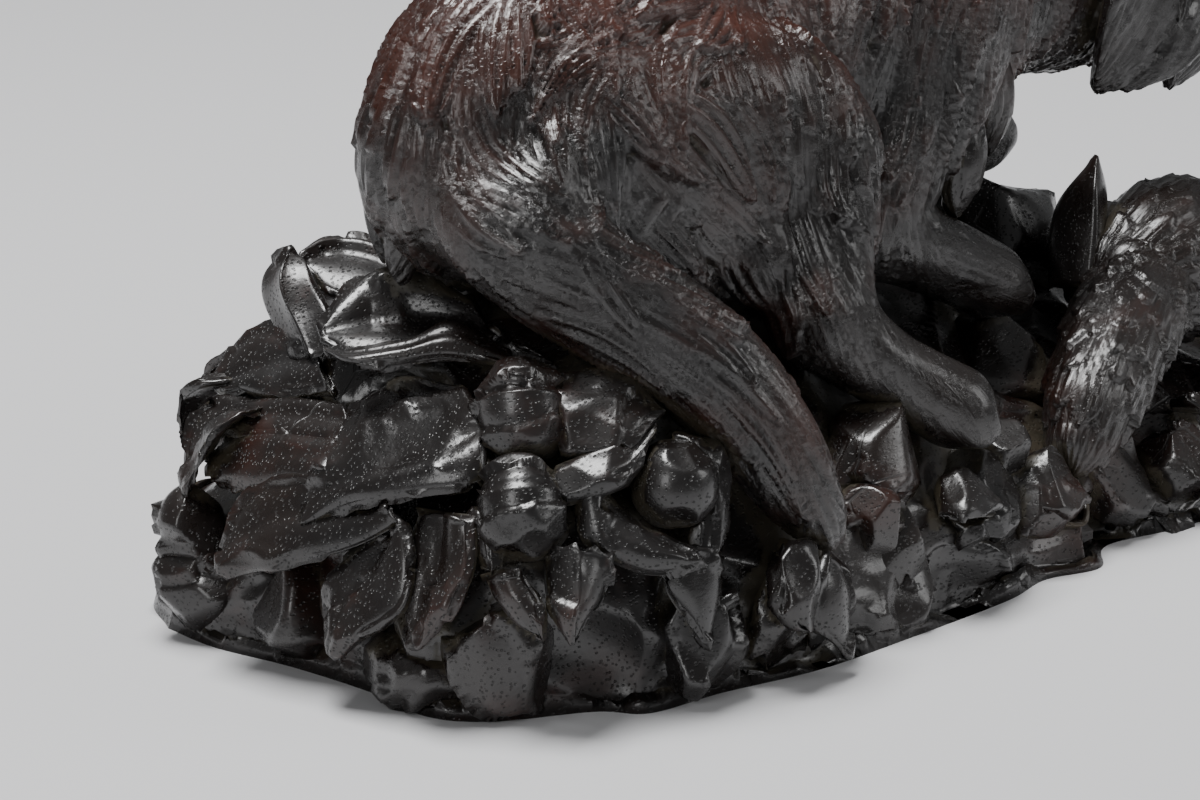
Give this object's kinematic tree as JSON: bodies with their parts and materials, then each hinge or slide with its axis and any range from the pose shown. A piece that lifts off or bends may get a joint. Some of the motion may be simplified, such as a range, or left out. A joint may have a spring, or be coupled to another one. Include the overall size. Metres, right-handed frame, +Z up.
{
  "type": "carved wooden dog figure on a leafy mound",
  "caption": "Dark carved wooden group: a long-haired gun dog lying on a rocky mound over a dead game bird, with fleshy leaves and round buds round its foot.",
  "frame": {"origin": "middle of the flat underside, below the middle of the object's box", "axes": "+X from the dog's rump to its head, +Y to the dog's left, +Z up"},
  "size_m": [0.2242, 0.1046, 0.1044],
  "materials": {
    "stained_wood": "dark brown stain under a glossy polish, with open pores, worn reddish edges and pale dust in the hollows"
  },
  "bodies": {
    "root": {"carved_dog_group": "stained_wood"}
  },
  "joints": []
}
